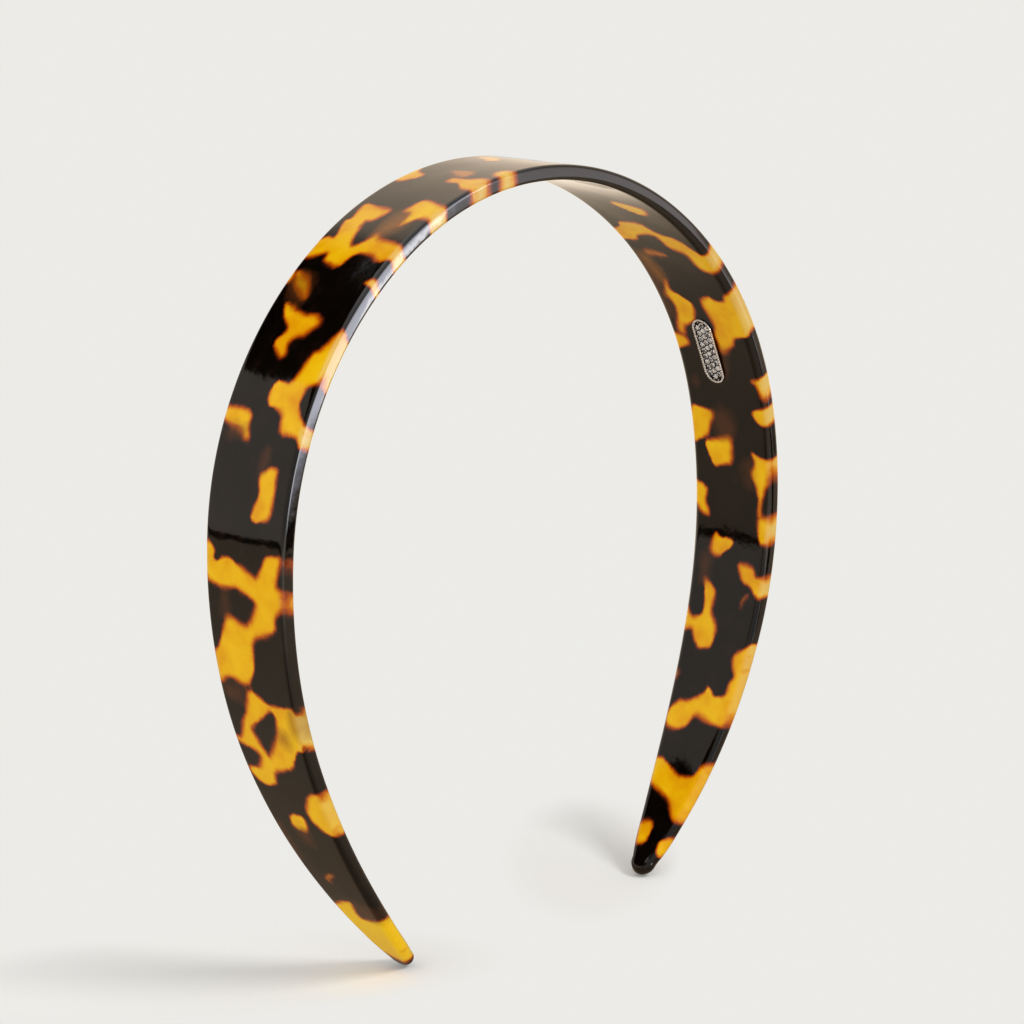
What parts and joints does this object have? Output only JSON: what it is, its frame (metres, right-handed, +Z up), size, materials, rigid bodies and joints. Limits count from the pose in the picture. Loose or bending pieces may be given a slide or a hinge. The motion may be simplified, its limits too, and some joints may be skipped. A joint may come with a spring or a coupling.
{
  "type": "headband",
  "caption": "Rigid arched hair band of polished tortoiseshell acetate that grips the head behind the ears, with a small stone-set metal emblem on one arm.",
  "frame": {"origin": "midway between the two tips, on the surface that the tips stand on", "axes": "+Z up through the crown, X from ear to ear with +X towards the arm that carries the emblem, Y across the band's width"},
  "size_m": [0.1354, 0.0222, 0.1557],
  "materials": {
    "acetate": "polished tortoiseshell",
    "silver": "polished plate",
    "crystal": "clear, faceted"
  },
  "bodies": {
    "root": {"band": "acetate", "emblem_plate": "silver", "emblem_crystals": "crystal", "emblem_pins": "silver"}
  },
  "joints": []
}
